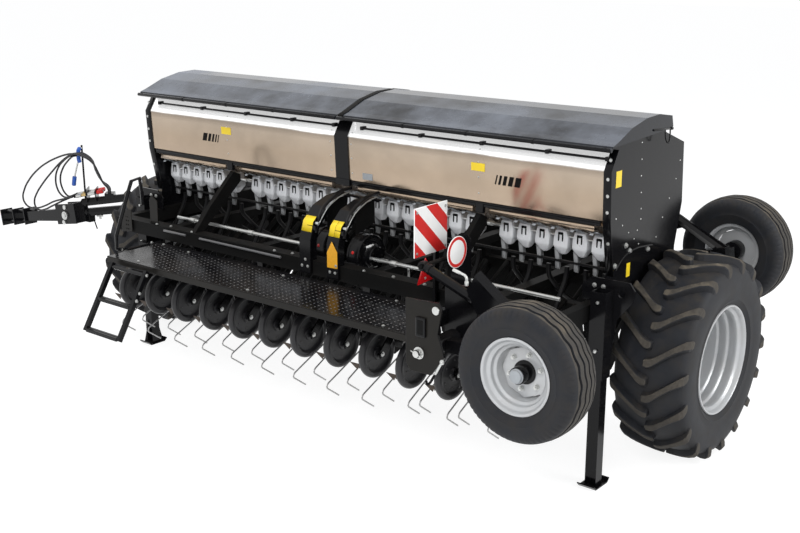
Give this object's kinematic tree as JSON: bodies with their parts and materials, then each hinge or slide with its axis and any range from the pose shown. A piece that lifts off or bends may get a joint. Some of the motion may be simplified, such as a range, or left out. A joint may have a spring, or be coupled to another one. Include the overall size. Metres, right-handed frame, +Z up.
{
  "type": "seed drill",
  "caption": "End-tow seed drill: steel hopper with two lids, seed metering, disc openers, press wheels, tine harrow, platform, field wheels, transport wheels and side drawbar.",
  "frame": {"origin": "centre of the machine's outline, on the floor", "axes": "+X along the hopper to the end with the transport wheels, +Y the field working direction, +Z up"},
  "size_m": [7.5248, 3.1992, 2.2125],
  "materials": {
    "black": "gloss black paint",
    "stainless": "polished",
    "zinc": "zinc plated",
    "cast": "cast",
    "tyre": "tread rubber",
    "rubber": "satin",
    "rim": "silver paint",
    "spring": "spring steel",
    "disc": "black",
    "sign": "reflective"
  },
  "bodies": {
    "frame": {"main_frame": "black", "end_plate_left": "black", "end_plate_right": "black", "hopper_rear_panel": "stainless", "hopper_floor": "stainless", "hopper_front_panel": "black", "hopper_divider": "stainless", "hopper_centre_strap": "black", "metering_bank": "cast", "seed_tubes": "rubber", "opener_bank_rear": "disc", "opener_bank_front": "disc", "press_wheel_carrier": "black", "harrow": "spring", "loading_platform": "black", "handrail": "black", "drive_gearboxes": "black", "gearbox_guards": "black", "stand_bracket_left": "black", "stand_bracket_right": "black", "transport_bracket_rear": "black", "transport_bracket_front": "black", "rear_signs": "sign", "transport_boom": "black", "hose_long_rear": "rubber", "hose_long_front": "rubber", "hose_short_rear": "rubber", "hose_short_front": "rubber"},
    "lid_left": {"lid_left": "black"},
    "field_wheel_left": {"field_tyre_left": "tyre", "field_rim_left": "rim"},
    "stand_left": {"stand_left": "black"},
    "lid_right": {"lid_right": "black"},
    "field_wheel_right": {"field_tyre_right": "tyre", "field_rim_right": "rim"},
    "stand_right": {"stand_right": "black"},
    "press_wheel_01": {"press_wheel_01": "tyre"},
    "press_wheel_02": {"press_wheel_02": "tyre"},
    "press_wheel_03": {"press_wheel_03": "tyre"},
    "press_wheel_04": {"press_wheel_04": "tyre"},
    "press_wheel_05": {"press_wheel_05": "tyre"},
    "press_wheel_06": {"press_wheel_06": "tyre"},
    "press_wheel_07": {"press_wheel_07": "tyre"},
    "press_wheel_08": {"press_wheel_08": "tyre"},
    "press_wheel_09": {"press_wheel_09": "tyre"},
    "press_wheel_10": {"press_wheel_10": "tyre"},
    "press_wheel_11": {"press_wheel_11": "tyre"},
    "press_wheel_12": {"press_wheel_12": "tyre"},
    "ladder": {"ladder": "black"},
    "transport_arm_rear": {"transport_arm_rear": "black"},
    "transport_wheel_rear": {"transport_tyre_rear": "tyre", "transport_rim_rear": "rim"},
    "cylinder_barrel_rear": {"cylinder_barrel_rear": "black"},
    "cylinder_rod_rear": {"cylinder_rod_rear": "zinc"},
    "transport_arm_front": {"transport_arm_front": "black"},
    "transport_wheel_front": {"transport_tyre_front": "tyre", "transport_rim_front": "rim"},
    "cylinder_barrel_front": {"cylinder_barrel_front": "black"},
    "cylinder_rod_front": {"cylinder_rod_front": "zinc"},
    "drawbar_tongue": {"drawbar_tongue": "black"}
  },
  "joints": [
    {"name": "lid_hinge_left", "type": "hinge", "parent": "frame", "child": "lid_left", "pos_m": [0.17242, 0.40863, 2.103], "axis": [-1, 0, 0], "range_deg": [0, 80]},
    {"name": "field_wheel_spin_left", "type": "hinge", "parent": "frame", "child": "field_wheel_left", "pos_m": [-1.18758, 0.23363, 0.664], "axis": [1, 0, 0], "continuous": true},
    {"name": "stand_slide_left", "type": "slide", "parent": "frame", "child": "stand_left", "axis": [0, 0, 1], "range_m": [0, 0.35]},
    {"name": "lid_hinge_right", "type": "hinge", "parent": "frame", "child": "lid_right", "pos_m": [2.27242, 0.40863, 2.103], "axis": [-1, 0, 0], "range_deg": [0, 80]},
    {"name": "field_wheel_spin_right", "type": "hinge", "parent": "frame", "child": "field_wheel_right", "pos_m": [3.51492, 0.46863, 0.664], "axis": [1, 0, 0], "continuous": true},
    {"name": "stand_slide_right", "type": "slide", "parent": "frame", "child": "stand_right", "axis": [0, 0, 1], "range_m": [0, 0.35]},
    {"name": "press_wheel_01_spin", "type": "hinge", "parent": "frame", "child": "press_wheel_01", "pos_m": [-0.42758, -0.83937, 0.682], "axis": [1, 0, 0], "continuous": true},
    {"name": "press_wheel_02_spin", "type": "hinge", "parent": "frame", "child": "press_wheel_02", "pos_m": [-0.12758, -0.83937, 0.682], "axis": [1, 0, 0], "continuous": true},
    {"name": "press_wheel_03_spin", "type": "hinge", "parent": "frame", "child": "press_wheel_03", "pos_m": [0.17242, -0.83937, 0.682], "axis": [1, 0, 0], "continuous": true},
    {"name": "press_wheel_04_spin", "type": "hinge", "parent": "frame", "child": "press_wheel_04", "pos_m": [0.47242, -0.83937, 0.682], "axis": [1, 0, 0], "continuous": true},
    {"name": "press_wheel_05_spin", "type": "hinge", "parent": "frame", "child": "press_wheel_05", "pos_m": [0.77242, -0.83937, 0.682], "axis": [1, 0, 0], "continuous": true},
    {"name": "press_wheel_06_spin", "type": "hinge", "parent": "frame", "child": "press_wheel_06", "pos_m": [1.07242, -0.83937, 0.682], "axis": [1, 0, 0], "continuous": true},
    {"name": "press_wheel_07_spin", "type": "hinge", "parent": "frame", "child": "press_wheel_07", "pos_m": [1.37242, -0.83937, 0.682], "axis": [1, 0, 0], "continuous": true},
    {"name": "press_wheel_08_spin", "type": "hinge", "parent": "frame", "child": "press_wheel_08", "pos_m": [1.67242, -0.83937, 0.682], "axis": [1, 0, 0], "continuous": true},
    {"name": "press_wheel_09_spin", "type": "hinge", "parent": "frame", "child": "press_wheel_09", "pos_m": [1.97242, -0.83937, 0.682], "axis": [1, 0, 0], "continuous": true},
    {"name": "press_wheel_10_spin", "type": "hinge", "parent": "frame", "child": "press_wheel_10", "pos_m": [2.27242, -0.83937, 0.682], "axis": [1, 0, 0], "continuous": true},
    {"name": "press_wheel_11_spin", "type": "hinge", "parent": "frame", "child": "press_wheel_11", "pos_m": [2.57242, -0.83937, 0.682], "axis": [1, 0, 0], "continuous": true},
    {"name": "press_wheel_12_spin", "type": "hinge", "parent": "frame", "child": "press_wheel_12", "pos_m": [2.87242, -0.83937, 0.682], "axis": [1, 0, 0], "continuous": true},
    {"name": "ladder_hinge", "type": "hinge", "parent": "frame", "child": "ladder", "pos_m": [0.11742, -1.31637, 1.03], "axis": [-1, 0, 0], "range_deg": [0, 100]},
    {"name": "drawbar_tongue_hinge", "type": "hinge", "parent": "frame", "child": "drawbar_tongue", "pos_m": [-2.57758, 0.10863, 0.765], "axis": [0, 1, 0], "range_deg": [0, 10]},
    {"name": "transport_arm_hinge_rear", "type": "hinge", "parent": "frame", "child": "transport_arm_rear", "pos_m": [2.69242, -1.00137, 0.98], "axis": [0, 1, 0], "range_deg": [0, 75]},
    {"name": "transport_wheel_spin_rear", "type": "hinge", "parent": "transport_arm_rear", "child": "transport_wheel_rear", "pos_m": [3.37942, -1.29037, 1.022], "axis": [0, 1, 0], "continuous": true},
    {"name": "cylinder_tilt_rear", "type": "hinge", "parent": "frame", "child": "cylinder_barrel_rear", "pos_m": [2.47242, -1.00137, 1.38], "axis": [0, 1, 0], "range_deg": [0, 27.86]},
    {"name": "cylinder_stroke_rear", "type": "slide", "parent": "cylinder_barrel_rear", "child": "cylinder_rod_rear", "axis": [0.9389, 0, -0.3442], "range_m": [0, 0.2778]},
    {"name": "transport_arm_hinge_front", "type": "hinge", "parent": "frame", "child": "transport_arm_front", "pos_m": [2.69242, 1.17863, 0.98], "axis": [0, 1, 0], "range_deg": [0, 84]},
    {"name": "transport_wheel_spin_front", "type": "hinge", "parent": "transport_arm_front", "child": "transport_wheel_front", "pos_m": [3.36439, 1.46763, 1.12895], "axis": [0, 1, 0], "continuous": true},
    {"name": "cylinder_tilt_front", "type": "hinge", "parent": "frame", "child": "cylinder_barrel_front", "pos_m": [2.47242, 1.17863, 1.38], "axis": [0, 1, 0], "range_deg": [0, 30.18]},
    {"name": "cylinder_stroke_front", "type": "slide", "parent": "cylinder_barrel_front", "child": "cylinder_rod_front", "axis": [0.952, 0, -0.306], "range_m": [0, 0.326]}
  ],
  "couplings": [
    {"joint": "cylinder_tilt_rear", "follows": "transport_arm_hinge_rear", "ratio": 0.3707},
    {"joint": "cylinder_stroke_rear", "follows": "transport_arm_hinge_rear", "m_per_rad": 0.21145},
    {"joint": "cylinder_tilt_front", "follows": "transport_arm_hinge_front", "ratio": 0.35857},
    {"joint": "cylinder_stroke_front", "follows": "transport_arm_hinge_front", "m_per_rad": 0.22168}
  ]
}
